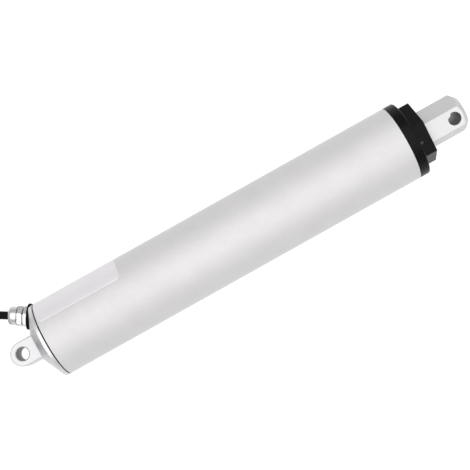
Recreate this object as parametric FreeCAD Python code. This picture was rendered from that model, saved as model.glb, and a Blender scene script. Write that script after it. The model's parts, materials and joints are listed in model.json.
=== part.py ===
import FreeCAD, Part
import math
import os

# Tubular electric linear actuator, all sizes in millimetres.
# The origin is the centre of the rear eye's hole. +X runs along the tube towards the rod end,
# +Z is the rear eye's hole axis, and +Y points to the side that the cable gland is on.
# The tube lies on a surface at z = -TUBE_R. The rod is stored fully retracted.

V = FreeCAD.Vector
AXIS_X = V(1, 0, 0)
FIT = 0.05  # radial clearance of a running or assembled fit
PRESS = 0.01  # radial clearance drawn between parts pressed together
GAP = 0.3  # clearance between parts that move past each other without touching

# Outer tube and stations along the axis
TUBE_R = 30.0
TUBE_WALL = 3.0
BORE_R = TUBE_R - TUBE_WALL
GASKET_X = 23.1
GASKET_T = 0.6
TUBE_X0 = GASKET_X + GASKET_T
TUBE_X1 = 329.1
STROKE = 100.0

# Rear end cap with its eye
EYE_HOLE_R = 5.0
EYE_R = 9.5
EYE_HALF_T = 10.0
EYE_CHAMFER = 0.7
LUG_WALL_X = 12.0  # where the lug's milled faces stop at the cone
LUG_WALL_DRAFT = 0.2  # lean of that wall, per millimetre of height
CAP_RIM_T = 3.0
CAP_EDGE_R = 0.9
CONE_TIP_R = 10.6
CONE_SLOPE = 2.0  # radius gained per millimetre of length
CAP_SPIGOT_X1 = 34.0
CAP_CAVITY_R = 23.0
CAP_CAVITY_X = 24.0
CAP_POCKET_R = 12.0
CAP_POCKET_X = 18.0

# Cable gland, on a flat seat cut into the cone on the +Y side
SEAT_X = 17.3
SEAT_Y = 22.65
GLAND_ANGLE = 32.0  # between the gland's axis and -X
SEAT_CUT_R = 11.0
WASHER_R = 10.0
WASHER_T = 2.2
GLAND_THREAD_R = 6.0
GLAND_THREAD_L = 8.0
GLAND_AF = 14.0
GLAND_BASE_T = 3.0
GLAND_GROOVE_T = 0.8
GLAND_NUT_HEX_T = 4.2
GLAND_DOME_T = 7.2
GLAND_DOME_R = 7.1
GLAND_DOME_EDGE_R = 3.1
GLAND_ROLL = -16.0  # the upper flats face this far from +Z, towards -Y when negative
GLAND_BORE_R = 3.6

# Cable: two-core round cable, put away in a coil beside the rear end
CABLE_R = 3.1
COIL_C = V(-73.0, 19.0, 0)
COIL_MID_R = 37.2
COIL_LOW_Z = -26.2
COIL_HIGH_Z = COIL_LOW_Z + 2 * CABLE_R
TIE_T = 0.6
TIE_W = 3.6
TIE_ANGLE = 140.0
CORE_R = 0.9
CORE_SPREAD = 1.35
CORE_L = 14.0
FERRULE_R = 1.15
FERRULE_L = 8.0

# Brushed motor
MOTOR_X0 = 46.0
CAN_R = 22.0
CAN_WALL = 1.6
CAN_X0 = 50.0
CAN_X1 = 108.0
SHAFT_R = 2.5
SHAFT_X1 = 124.5
ARMATURE_R = 15.8
ARMATURE_X0 = 62.0
ARMATURE_X1 = 96.0
SLOTS = 10
COMMUTATOR_R = 6.0

# Two-stage planetary gearbox
MODULE = 0.9
SUN_TEETH = 12
PLANET_TEETH = 15
RING_TEETH = 42
PLANETS = 3
BACKLASH = 0.2
ADDENDUM = 0.8
DEDENDUM = 1.1
PRESSURE = math.radians(20)
PLANET_PATH_R = MODULE * (SUN_TEETH + PLANET_TEETH) / 2
PIN_R = 2.0
HOUSING_R = 26.7
RING_X0 = 112.0
RING_X1 = 152.0
STAGE_1_X = (116.0, 124.0)
STAGE_2_X = (131.0, 141.0)
CARRIER_R = 15.5
HUB_R = 2.4
CARRIER_1_X = (125.0, 128.0)
CARRIER_2_X = (142.5, 147.0)
FRONT_PLATE_X1 = 155.0

# Screw bearings and lead screw
BEARING_R = 14.0
BEARING_BORE_R = 6.0
BEARING_W = 8.0
BEARING_X0 = 157.0
BALL_R = 2.2
BALL_PATH_R = 10.0
BALLS = 8
HOUSING_X1 = 176.0
SCREW_R = 6.0
SCREW_ROOT_R = 4.3
SCREW_PITCH = 3.0
SCREW_THREAD_X0 = 180.0
SCREW_X1 = 317.0

# Drive nut, rod and rod end
NUT_X0 = 190.0
NUT_FLANGE_X1 = 206.0
NUT_X1 = 214.0
NUT_FLANGE_R = 14.0
COLLAR_X0 = 188.0
COLLAR_X1 = 204.0
ROD_R = 11.0
ROD_BORE_R = 7.6
BOSS_X1 = 347.5
ROD_END_X0 = 347.9
ROD_END_X1 = 381.5
ROD_END_AF = 27.0
ROD_END_FACE_R = 10.75
ROD_END_EDGE_R = 0.3
ROD_EYE_CHAMFER = 0.3
ROD_EYE_X = 371.4
FRONT_ROLL = -20.0  # the front hexagons' upper flats face this far from +Z, towards -Y when negative

# Black front gland
FLANGE_X1 = 337.2
FLANGE_EDGE_R = 1.3
BOSS_AF = 43.4
BOSS_EDGE_R = 0.35
FRONT_SPIGOT_X0 = 318.0
BUSH_R = 13.5
BUSH_X1 = 333.0
SEAL_X = (335.0, 338.6)
WIPER_X = (342.5, 347.3)
SEAL_R = 14.0
SET_SCREW_X = 339.7
SET_SCREW_OFFSET = 1.8  # from the middle of the flat, towards -Y
SET_SCREW_R = 1.1

# Limit switches, on a board along the +Y side of the bore
BOARD_T = 1.6
BOARD_W = 9.0
BOARD_Y1 = 26.2
BOARD_X = (178.0, 316.0)
SWITCH_W = 6.0
SWITCH_H = 6.5
REAR_SWITCH_X = (178.5, 187.0)
FRONT_SWITCH_X = (COLLAR_X1 + STROKE + 0.8, 315.0)
WIRE_R = 0.6
WIRE_Y = 25.2


def cylinder(radius, x0, x1):
    """Solid cylinder about the X axis."""
    return Part.makeCylinder(radius, x1 - x0, V(x0, 0, 0), AXIS_X)


def sleeve(outer, inner, x0, x1):
    """Hollow cylinder about the X axis."""
    return cylinder(outer, x0, x1).cut(cylinder(inner, x0 - 1, x1 + 1))


def turned(profile):
    """Solid of revolution about the X axis from a closed outline of (x, radius) points."""
    points = [V(x, r, 0) for x, r in profile]
    wire = Part.makePolygon(points + points[:1])
    return Part.Face(wire).revolve(V(0, 0, 0), AXIS_X, 360)


def box(x, y, z):
    """Box from three (low, high) pairs."""
    return Part.makeBox(x[1] - x[0], y[1] - y[0], z[1] - z[0], V(x[0], y[0], z[0]))


def about_x(angle, radius, x=0.0):
    """Point at an angle about the X axis, from +Y towards +Z."""
    a = math.radians(angle)
    return V(x, radius * math.cos(a), radius * math.sin(a))


def prism(outline, x0, x1):
    """Straight prism along X from points in the plane x = 0."""
    points = [V(x0, p.y, p.z) for p in outline]
    return Part.Face(Part.makePolygon(points + points[:1])).extrude(V(x1 - x0, 0, 0))


def hexagon(across_flats, first_flat):
    """Corners of a hexagon whose first flat faces the angle first_flat."""
    corner_r = across_flats / math.sqrt(3)
    return [about_x(first_flat + 30 + 60 * i, corner_r) for i in range(6)]


def front_angle():
    """Angle about X, from +Y towards +Z, that the front hexagons' upper flats face."""
    return 90 - FRONT_ROLL


def ring_of(shape, count, start=0.0):
    """Copies of a shape at even steps about the X axis."""
    copies = []
    for i in range(count):
        copy = shape.copy()
        copy.rotate(V(0, 0, 0), AXIS_X, start + 360.0 * i / count)
        copies.append(copy)
    return copies


def export(name, shape):
    """Writes one sub-part, checked to be made of closed valid solids."""
    solids = shape.Solids
    if not solids or not shape.isValid():
        raise ValueError(name + " is not a valid solid")
    result = solids[0] if len(solids) == 1 else Part.makeCompound(solids)
    result.exportStep("parts/" + name + ".step")


# ---------------------------------------------------------------- rear end

def cone_x(radius):
    """Station of the cap's conical back at a radius."""
    return GASKET_X - CAP_RIM_T - (TUBE_R - radius) / CONE_SLOPE


def gland_placement():
    """Placement that carries a shape built along +X onto the gland's seat, pointing outwards."""
    a = math.radians(GLAND_ANGLE)
    turn = FreeCAD.Rotation(AXIS_X, V(-math.cos(a), math.sin(a), 0))
    return FreeCAD.Placement(V(SEAT_X, SEAT_Y, 0), turn)


def on_gland(shape):
    """Moves a shape built along +X from the origin onto the gland's seat."""
    moved = shape.copy()
    moved.Placement = gland_placement().multiply(moved.Placement)
    return moved


def gland_point(distance):
    """Point on the gland's axis, at a distance outwards from its seat."""
    return gland_placement().multVec(V(distance, 0, 0))


def eye_lug():
    """Rear lug with its rounded end, drilled along Z."""
    reach = CAP_POCKET_X - 3
    bar = box((0, reach), (-EYE_R, EYE_R), (-EYE_HALF_T, EYE_HALF_T))
    nose = Part.makeCylinder(EYE_R, 2 * EYE_HALF_T, V(0, 0, -EYE_HALF_T))
    lug = bar.fuse(nose).removeSplitter()
    hole = Part.makeCylinder(EYE_HOLE_R, 4 * EYE_HALF_T, V(0, 0, -2 * EYE_HALF_T))
    lug = lug.cut(hole)
    faces = [f for f in lug.Faces if abs(f.CenterOfMass.z) > EYE_HALF_T - 0.01]
    edges = [e for f in faces for e in f.Edges if e.BoundBox.XMin < reach - 0.1]
    return lug.makeChamfer(EYE_CHAMFER, edges)


def lug_clearance(side):
    """What is milled off the cone over the lug, on its upper side (1) or lower side (-1)."""
    height = TUBE_R - EYE_HALF_T
    wall_top = LUG_WALL_X + LUG_WALL_DRAFT * height
    corners = [(-EYE_R, EYE_HALF_T), (LUG_WALL_X, EYE_HALF_T), (wall_top, TUBE_R), (-EYE_R, TUBE_R)]
    outline = Part.makePolygon([V(x, -EYE_R, side * z) for x, z in corners + corners[:1]])
    return Part.Face(outline).extrude(V(0, 2 * EYE_R, 0))


def rear_end_cap():
    """Cast cap: conical back, short rim, spigot inside the tube, and the eye lug."""
    rim_x = GASKET_X - CAP_RIM_T
    edge = 0.4
    body = turned([
        (cone_x(CONE_TIP_R), 0),
        (cone_x(CONE_TIP_R), CONE_TIP_R),
        (rim_x, TUBE_R),
        (GASKET_X - edge, TUBE_R),
        (GASKET_X, TUBE_R - edge),
        (GASKET_X, BORE_R - FIT),
        (CAP_SPIGOT_X1, BORE_R - FIT),
        (CAP_SPIGOT_X1, CAP_CAVITY_R),
        (CAP_CAVITY_X, CAP_CAVITY_R),
        (CAP_CAVITY_X, CAP_POCKET_R),
        (CAP_POCKET_X, CAP_POCKET_R),
        (CAP_POCKET_X, 0),
    ])
    rim_edge = [e for e in circles(body)
                if abs(e.CenterOfMass.x - rim_x) < 0.01 and e.BoundBox.YMax > TUBE_R - 0.01]
    body = body.makeFillet(CAP_EDGE_R, rim_edge)
    body = body.cut(lug_clearance(1)).cut(lug_clearance(-1))
    seat = on_gland(cylinder(SEAT_CUT_R, 0, 20))
    thread = on_gland(cylinder(GLAND_THREAD_R + FIT, -12, 1))
    return body.fuse(eye_lug()).cut(seat).cut(thread).removeSplitter()


def rear_gasket():
    """Flat gasket between the cap's rim and the tube's end."""
    return sleeve(TUBE_R - 0.15, BORE_R + FIT, GASKET_X, TUBE_X0)


def gland_washer():
    """Black sealing washer under the gland."""
    ring = sleeve(WASHER_R, GLAND_THREAD_R + 0.1, 0, WASHER_T)
    outer = [e for e in ring.Edges if abs(e.Length - 2 * math.pi * WASHER_R) < 0.01]
    return on_gland(ring.makeFillet(0.3, outer))


def gland_hex(x0, x1):
    """Hexagon of the gland, with its corners turned down at both ends."""
    corner_r = GLAND_AF / math.sqrt(3)
    bevel = 0.5
    turned_down = turned([
        (x0, 0),
        (x0, corner_r - bevel),
        (x0 + bevel, corner_r),
        (x1 - bevel, corner_r),
        (x1, corner_r - bevel),
        (x1, 0),
    ])
    return prism(hexagon(GLAND_AF, 90 + GLAND_ROLL), x0, x1).common(turned_down)


def gland_stations():
    """Distances from the seat to the base's end, the nut's start, the dome's start and the mouth."""
    base_end = WASHER_T + GLAND_BASE_T
    nut_start = base_end + GLAND_GROOVE_T
    dome_start = nut_start + GLAND_NUT_HEX_T
    return base_end, nut_start, dome_start, dome_start + GLAND_DOME_T


def gland_body():
    """Gland body: threaded stem in the cap, hexagon base and threaded neck."""
    base_end, nut_start, dome_start, mouth = gland_stations()
    neck_r = GLAND_THREAD_R - 0.4
    body = gland_hex(WASHER_T, base_end)
    body = body.fuse(cylinder(GLAND_THREAD_R, -GLAND_THREAD_L, WASHER_T))
    body = body.fuse(cylinder(neck_r, base_end, dome_start))
    return on_gland(body.cut(cylinder(GLAND_BORE_R, -GLAND_THREAD_L - 1, mouth)))


def gland_dome_nut():
    """Compression nut: hexagon with a domed nose, open for the cable."""
    base_end, nut_start, dome_start, mouth = gland_stations()
    nose = cylinder(GLAND_DOME_R, dome_start - 1, mouth)
    nose = nose.makeFillet(GLAND_DOME_EDGE_R, [e for e in circles(nose) if e.CenterOfMass.x > dome_start])
    nut = gland_hex(nut_start, dome_start).fuse(nose)
    nut = nut.cut(cylinder(GLAND_THREAD_R - 0.4 + FIT, nut_start - 1, dome_start + 0.5))
    nut = nut.cut(cylinder(GLAND_BORE_R, nut_start, mouth + 1))
    return on_gland(nut)


def gland_seal():
    """Rubber insert that grips the cable at the gland's mouth."""
    mouth = gland_stations()[3]
    return on_gland(sleeve(GLAND_BORE_R - FIT, CABLE_R + FIT, mouth - 9, mouth - 0.6))


def outer_tube():
    """Plain round tube, its end edges just broken."""
    edge = 0.3
    return turned([
        (TUBE_X0, BORE_R),
        (TUBE_X0, TUBE_R - edge),
        (TUBE_X0 + edge, TUBE_R),
        (TUBE_X1 - edge, TUBE_R),
        (TUBE_X1, TUBE_R - edge),
        (TUBE_X1, BORE_R),
    ])


def rating_label():
    """Blank foil label wrapped on the tube beside the rear end."""
    x0, x1 = TUBE_X0 + 0.8, TUBE_X0 + 71.0
    first, last = -65.0, 65.0
    thickness = 0.1
    corner_r = 3.0
    shell = sleeve(TUBE_R + thickness, TUBE_R, x0, x1)
    middle, half = (first + last) / 2, math.radians((last - first) / 2)
    half_width = TUBE_R * math.sin(half)
    window = box((x0, x1), (0, TUBE_R * 2), (-half_width, half_width))
    corners = [e for e in window.Edges if abs(e.Length - TUBE_R * 2) < 0.01]
    window = window.makeFillet(corner_r, corners)
    window.rotate(V(0, 0, 0), AXIS_X, middle)
    return shell.common(window)


# ---------------------------------------------------------------- cable

def cable_route():
    """Corners of the cable's way from the gland's mouth to the top of the coil."""
    start = gland_point(gland_stations()[3] - 1.8)
    return [
        start,
        V(-5.4, 36.8, 0.0),
        V(-16.2, 42.2, -2.0),
        V(-26.8, 47.2, -6.2),
        V(-37.1, 51.5, -11.7),
        V(-47.9, 55.2, -16.5),
        V(-59.5, 58.1, -19.4),
        V(-71.7, 59.4, COIL_HIGH_Z),
    ]


def around_coil(angle, radius, z):
    """Point at an angle and radius about the coil's centre."""
    a = math.radians(angle)
    return COIL_C + V(radius * math.cos(a), radius * math.sin(a), z)


def tail_route():
    """Corners of the cable's free end, which springs a little out of the coil."""
    steps = [
        (186, 40.3, -26.2),
        (199, 40.5, -26.3),
        (212, 41.2, -26.5),
        (225, 42.3, -26.7),
        (238, 43.6, -26.9),
        (251, 45.0, -26.8),
        (262, 46.4, -26.9),
    ]
    return [around_coil(*step) for step in steps]


def rounded_wire(corners):
    """Wire of straight runs joined by tangent arcs as large as the runs allow, and its radii."""
    share = 0.45
    edges, radii, last = [], [], corners[0]
    for before, corner, after in zip(corners, corners[1:], corners[2:]):
        run_in, run_out = corner - before, after - corner
        turn = run_in.getAngle(run_out)
        cut_back = share * min(run_in.Length, run_out.Length)
        radii.append(cut_back / math.tan(turn / 2))
        into, out = V(run_in).normalize(), V(run_out).normalize()
        start, end = corner - into * cut_back, corner + out * cut_back
        inward = (out - into).normalize()
        rise = radii[-1] / math.cos(turn / 2) - radii[-1]
        edges.append(Part.LineSegment(last, start).toShape())
        edges.append(Part.Arc(start, corner + inward * rise, end).toShape())
        last = end
    edges.append(Part.LineSegment(last, corners[-1]).toShape())
    return Part.Wire(edges), radii


def cord_tube(name, corners, radius):
    """Round tube along a route. Prints its bend radii and how true its volume is."""
    wire, radii = rounded_wire(corners)
    heading = corners[1] - corners[0]
    section = Part.Wire(Part.makeCircle(radius, corners[0], heading))
    tube = wire.makePipeShell([section], True, False)
    expected = math.pi * radius**2 * wire.Length
    print(name, "length", round(wire.Length, 1), "radii", [round(r, 1) for r in radii],
          "volume share", round(tube.Volume / expected, 4))
    return tube


def cable_coil():
    """Closed ring around the coil's turns."""
    half = 2 * CABLE_R
    outer, inner = COIL_MID_R + half, COIL_MID_R - half
    base = COIL_C + V(0, 0, COIL_LOW_Z - CABLE_R)
    height = COIL_HIGH_Z - COIL_LOW_Z + 2 * CABLE_R
    ring = Part.makeCylinder(outer, height, base).cut(Part.makeCylinder(inner, height, base))
    return ring.makeFillet(CABLE_R - 0.1, circles(ring))


def circles(shape):
    """The full-circle edges of a shape."""
    return [e for e in shape.Edges if len(e.Vertexes) == 1]


def cable_tie():
    """Nylon tie around the coil's turns."""
    slack = 0.08
    half = 2 * CABLE_R + slack
    low, high = COIL_LOW_Z - CABLE_R - slack, COIL_HIGH_Z + CABLE_R + slack
    outer = box((COIL_MID_R - half - TIE_T, COIL_MID_R + half + TIE_T),
                (-TIE_W / 2, TIE_W / 2), (low - TIE_T, high + TIE_T))
    inner = box((COIL_MID_R - half, COIL_MID_R + half), (-TIE_W, TIE_W), (low, high))
    head = box((COIL_MID_R - 3.0, COIL_MID_R + 3.0), (-2.8, 2.8), (high + TIE_T, high + TIE_T + 3.4))
    tie = outer.cut(inner).fuse(head).removeSplitter()
    tie.rotate(V(0, 0, 0), V(0, 0, 1), TIE_ANGLE)
    tie.translate(COIL_C)
    return tie


def tail_end():
    """The cable's cut end and the way it points."""
    corners = tail_route()
    heading = (corners[-1] - corners[-2]).normalize()
    return corners[-1], V(heading.x, heading.y, 0).normalize()


def core_lines():
    """Start and end point of each insulated core beyond the cable's jacket."""
    end, heading = tail_end()
    side = V(-heading.y, heading.x, 0)
    lines = []
    for way in (-1, 1):
        start = end + side * (way * CORE_SPREAD)
        stop = end + heading * CORE_L + side * (way * 3 * CORE_SPREAD)
        stop.z = -TUBE_R + FERRULE_R + 0.15
        lines.append((start, stop))
    return lines


def cable_cores():
    """Two insulated cores that show beyond the jacket."""
    solids = []
    for start, stop in core_lines():
        along = stop - start
        solids.append(Part.makeCylinder(CORE_R, along.Length, start, along))
    return Part.makeCompound(solids)


def core_ferrules():
    """Crimped pins on the cores' ends."""
    solids = []
    for start, stop in core_lines():
        along = V(stop - start)
        along.z = 0
        solids.append(Part.makeCylinder(FERRULE_R, FERRULE_L, stop, along))
    return Part.makeCompound(solids)


def inner_wires():
    """Jacketed end inside the gland, the two motor leads, and the wires to the limit switches."""
    inner_end = -GLAND_THREAD_L - 1.5
    stub_end = gland_stations()[3] - 1.8
    solids = [on_gland(cylinder(CABLE_R - 0.02, inner_end, stub_end - 0.02))]
    start = gland_point(inner_end)
    for way in (-1, 1):
        lead = [
            start + V(0.4, 0, 1.2 * way),
            start + V(4.5, -2.4, 2.0 * way),
            start + V(9.0, -5.6, 4.0 * way),
            V(40.5, 9.5, 7.0 * way),
            V(MOTOR_X0 - 0.5, 8.0, 8.0 * way),
        ]
        solids.append(cord_tube("motor lead", lead, CORE_R))
    for way in (-1, 0, 1):
        row = Part.makeCylinder(WIRE_R, BOARD_X[0] - 38, V(38, WIRE_Y, 1.5 * way), AXIS_X)
        solids.append(row)
    return Part.makeCompound(solids)


# ---------------------------------------------------------------- motor

def motor_can():
    """Drawn steel can with its front wall."""
    can = sleeve(CAN_R, CAN_R - CAN_WALL, CAN_X0, CAN_X1)
    wall = sleeve(CAN_R - CAN_WALL, 5.0, CAN_X1 - 2, CAN_X1)
    can = can.fuse(wall).removeSplitter()
    return can.cut(Part.makeCompound(motor_screw_rods(1.6, CAN_X1 - 3, CAN_X1 + 1)))


def motor_magnets():
    """Two ferrite arcs against the can's wall."""
    outer, inner = CAN_R - CAN_WALL - 0.02, ARMATURE_R + 0.6
    ring = sleeve(outer, inner, ARMATURE_X0 - 2, ARMATURE_X1 + 2)
    gap = box((0, CAN_X1), (-CAN_R, CAN_R), (-5, 5))
    return ring.cut(gap)


def motor_end_bell():
    """Moulded rear end of the motor with the rear bush's boss and two terminals."""
    disc = cylinder(CAN_R - CAN_WALL - FIT, MOTOR_X0 + 4, MOTOR_X0 + 6)
    flange = cylinder(CAN_R, MOTOR_X0, CAN_X0)
    boss = cylinder(8.0, MOTOR_X0 - 3, MOTOR_X0)
    bell = disc.fuse(flange).fuse(boss).cut(cylinder(4.5, MOTOR_X0 - 4, MOTOR_X0 + 7))
    return bell.removeSplitter()


def motor_bushes():
    """Sintered bushes at both ends of the motor."""
    rear = sleeve(4.5 - PRESS, SHAFT_R + FIT, MOTOR_X0 - 3, MOTOR_X0 + 5)
    front = sleeve(5.0 - PRESS, SHAFT_R + FIT, CAN_X1 - 4, CAN_X1)
    return Part.makeCompound([rear, front])


def motor_brushes():
    """Two carbon brushes on the commutator."""
    brush = box((MOTOR_X0 + 7.2, MOTOR_X0 + 12.2), (COMMUTATOR_R + 0.15, 13.0), (-2, 2))
    return Part.makeCompound(ring_of(brush, 2))


def motor_shaft():
    """Steel shaft of the armature."""
    return cylinder(SHAFT_R, MOTOR_X0 - 2.5, SHAFT_X1)


def motor_laminations():
    """Slotted armature core."""
    core = cylinder(ARMATURE_R, ARMATURE_X0, ARMATURE_X1)
    core = core.cut(cylinder(SHAFT_R + PRESS, ARMATURE_X0 - 1, ARMATURE_X1 + 1))
    slot = box((ARMATURE_X0 - 1, ARMATURE_X1 + 1), (7.5, ARMATURE_R + 1), (-1.1, 1.1))
    return core.cut(Part.makeCompound(ring_of(slot, SLOTS)))


def motor_windings():
    """Copper end turns at both ends of the core."""
    solids = []
    for x0 in (ARMATURE_X0 - 3.2, ARMATURE_X1 + 0.05):
        ring = sleeve(14.5, 7.0, x0, x0 + 3.15)
        solids.append(ring.makeFillet(1.2, circles(ring)))
    return Part.makeCompound(solids)


def motor_commutator():
    """Segmented copper commutator."""
    ring = sleeve(COMMUTATOR_R, SHAFT_R + PRESS, MOTOR_X0 + 7, MOTOR_X0 + 14.5)
    slit = box((MOTOR_X0 + 6, MOTOR_X0 + 14.6), (COMMUTATOR_R - 1.2, COMMUTATOR_R + 1), (-0.25, 0.25))
    return ring.cut(Part.makeCompound(ring_of(slit, SLOTS, 18)))


# ---------------------------------------------------------------- gearbox

def involute(angle):
    """Involute function of a pressure angle."""
    return math.tan(angle) - angle


def half_tooth(teeth, radius, extra):
    """Half angle that a tooth spans at a radius, with extra tooth thickness at the pitch circle."""
    pitch_r = MODULE * teeth / 2
    base_r = pitch_r * math.cos(PRESSURE)
    at_radius = math.acos(min(1.0, base_r / radius))
    middle = math.pi / 2 / teeth + extra / 2 / pitch_r
    return middle + involute(PRESSURE) - involute(at_radius)


def toothed_outline(teeth, radii, extra, centre, start):
    """Closed outline of teeth whose flanks pass through the given radii, root first."""
    points = []
    for i in range(teeth):
        middle = start + 2 * math.pi * i / teeth
        flank = [(r, half_tooth(teeth, r, extra)) for r in radii]
        for r, half in flank:
            points.append((r, middle - half))
        for r, half in reversed(flank):
            points.append((r, middle + half))
    return [centre + V(0, r * math.cos(a), r * math.sin(a)) for r, a in points]


def outer_gear(teeth, span, bore_r, centre=V(0, 0, 0), start=0.0):
    """External spur gear."""
    pitch_r = MODULE * teeth / 2
    radii = [pitch_r - DEDENDUM * MODULE, pitch_r, pitch_r + ADDENDUM * MODULE]
    outline = toothed_outline(teeth, radii, -BACKLASH / 2, centre, start)
    bore = Part.makeCylinder(bore_r, span[1] - span[0], centre + V(span[0], 0, 0), AXIS_X)
    return prism(outline, *span).cut(bore)


def planet(stage_span, index):
    """Planet gear, with one tooth pointing outwards."""
    angle = 360.0 * index / PLANETS
    return outer_gear(PLANET_TEETH, stage_span, PIN_R + FIT,
                      about_x(angle, PLANET_PATH_R), math.radians(angle))


def wire_slot():
    """Slot for the switch wires along the +Y side of the gearbox and the bearing housing."""
    return box((RING_X0 - 10, HOUSING_X1 + 5), (WIRE_Y - 1.2, BORE_R + 5), (-2.6, 2.6))


def gearbox_screw_rods(radius, x0, x1):
    """Four rods on the gearbox screws' axes."""
    rod = Part.makeCylinder(radius, x1 - x0, V(x0, 23.2, 0), AXIS_X)
    return ring_of(rod, 4, 45)


def motor_screw_rods(radius, x0, x1):
    """Two rods on the motor screws' axes."""
    rod = Part.makeCylinder(radius, x1 - x0, V(x0, 9.5, 0), AXIS_X)
    return ring_of(rod, 2, 90)


def gearbox_rear_plate():
    """Plate that joins the motor to the ring gear."""
    plate = sleeve(HOUSING_R, 6.6, CAN_X1, RING_X0)
    cuts = gearbox_screw_rods(1.55, CAN_X1 - 1, RING_X0 + 1)
    cuts += gearbox_screw_rods(2.85, CAN_X1 - 1, CAN_X1 + 2.6)
    cuts += motor_screw_rods(1.55, CAN_X1 - 1, RING_X0 + 1)
    cuts += motor_screw_rods(2.85, RING_X0 - 2.1, RING_X0 + 1)
    return plate.cut(Part.makeCompound(cuts)).cut(wire_slot())


def ring_gear():
    """Internal ring gear shared by both stages."""
    pitch_r = MODULE * RING_TEETH / 2
    radii = [pitch_r + DEDENDUM * MODULE, pitch_r, pitch_r - ADDENDUM * MODULE]
    outline = toothed_outline(RING_TEETH, list(reversed(radii)), BACKLASH / 2, V(0, 0, 0), 0.0)
    body = cylinder(HOUSING_R, RING_X0, RING_X1).cut(prism(outline, RING_X0 - 1, RING_X1 + 1))
    return body.cut(Part.makeCompound(gearbox_screw_rods(1.55, RING_X0 - 1, RING_X1 + 1))).cut(wire_slot())


def gearbox_front_plate():
    """Plate between the ring gear and the bearing housing."""
    plate = sleeve(HOUSING_R, 9.5, RING_X1, FRONT_PLATE_X1)
    return plate.cut(Part.makeCompound(gearbox_screw_rods(1.55, RING_X1 - 1, FRONT_PLATE_X1 + 1))).cut(wire_slot())


def gearbox_screws():
    """Four long cap screws through the gearbox into the bearing housing."""
    rods = gearbox_screw_rods(1.5, CAN_X1 + 2.6, FRONT_PLATE_X1 + 8)
    heads = gearbox_screw_rods(2.75, CAN_X1 + 0.1, CAN_X1 + 2.6)
    return Part.makeCompound([rod.fuse(head) for rod, head in zip(rods, heads)])


def motor_screws():
    """Two short screws that hold the motor to the rear plate."""
    rods = motor_screw_rods(1.5, CAN_X1 - 2, RING_X0 - 2)
    heads = motor_screw_rods(2.75, RING_X0 - 2, RING_X0 - 0.1)
    return Part.makeCompound([rod.fuse(head) for rod, head in zip(rods, heads)])


def carrier(plate_span, pin_x0, bore_r):
    """Carrier plate with three planet pins pressed in."""
    plate = cylinder(CARRIER_R, *plate_span)
    pin = Part.makeCylinder(PIN_R, plate_span[1] - pin_x0, V(pin_x0, PLANET_PATH_R, 0), AXIS_X)
    whole = plate.fuse(ring_of(pin, PLANETS)).removeSplitter()
    return whole.cut(cylinder(bore_r, plate_span[0] - 1, plate_span[1] + 1)) if bore_r else whole


def carrier_1():
    """First-stage carrier with a hub for the second sun."""
    hub = cylinder(HUB_R, CARRIER_1_X[1], STAGE_2_X[1])
    return carrier(CARRIER_1_X, STAGE_1_X[0] - 0.5, 0).fuse(hub).removeSplitter()


def sun_gear_1():
    """First-stage sun on the motor shaft."""
    return outer_gear(SUN_TEETH, (STAGE_1_X[0] - 0.5, SHAFT_X1), SHAFT_R + PRESS)


def sun_gear_2():
    """Second-stage sun on the first carrier's hub."""
    return outer_gear(SUN_TEETH, (CARRIER_1_X[1] + PRESS, STAGE_2_X[1]), HUB_R + PRESS)


def carrier_2():
    """Second-stage carrier, pressed on the lead screw's rear journal."""
    return carrier(CARRIER_2_X, STAGE_2_X[0] - 0.5, 4.9)


# ---------------------------------------------------------------- screw and bearings

def bearing_housing():
    """Aluminium housing that carries the lead screw's two ball bearings."""
    body = sleeve(HOUSING_R, BEARING_R + 0.02, FRONT_PLATE_X1, HOUSING_X1)
    lip = sleeve(BEARING_R + 0.02, 11.5, FRONT_PLATE_X1, BEARING_X0)
    body = body.fuse(lip).removeSplitter()
    groove = sleeve(BEARING_R + 0.8, BEARING_R - 1, BEARING_X0 + 2 * BEARING_W + 0.1,
                    BEARING_X0 + 2 * BEARING_W + 1.3)
    body = body.cut(groove).cut(wire_slot())
    return body.cut(Part.makeCompound(gearbox_screw_rods(1.52, FRONT_PLATE_X1 - 1, FRONT_PLATE_X1 + 9)))


def bearing_centres():
    """Stations of the two bearings' middles."""
    return [BEARING_X0 + BEARING_W * (i + 0.5) for i in range(2)]


def races(outer, inner):
    """Two races with a ball groove each."""
    solids = []
    for x in bearing_centres():
        half = BEARING_W / 2 - 0.01
        groove = Part.makeTorus(BALL_PATH_R, BALL_R + FIT, V(x, 0, 0), AXIS_X)
        solids.append(sleeve(outer, inner, x - half, x + half).cut(groove))
    return Part.makeCompound(solids)


def bearing_balls():
    """Balls of both bearings."""
    solids = []
    for x in bearing_centres():
        solids += ring_of(Part.makeSphere(BALL_R, V(x, BALL_PATH_R, 0)), BALLS)
    return Part.makeCompound(solids)


def bearing_circlip():
    """Internal retaining ring in front of the bearings."""
    x0 = BEARING_X0 + 2 * BEARING_W + 0.15
    ring = sleeve(BEARING_R + 0.75, BEARING_R - 1.4, x0, x0 + 1.1)
    return ring.cut(box((x0 - 1, x0 + 3), (0, 20), (-3, 3)))


def thread_profile():
    """Outline of the threaded length, its turns drawn as closed ridges one pitch apart."""
    flank = 0.45
    crest = 1.05
    points, x = [], SCREW_THREAD_X0
    while x + SCREW_PITCH < SCREW_X1 - 2:
        points += [(x, SCREW_ROOT_R), (x + flank, SCREW_R), (x + flank + crest, SCREW_R),
                   (x + 2 * flank + crest, SCREW_ROOT_R)]
        x += SCREW_PITCH
    return points


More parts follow.
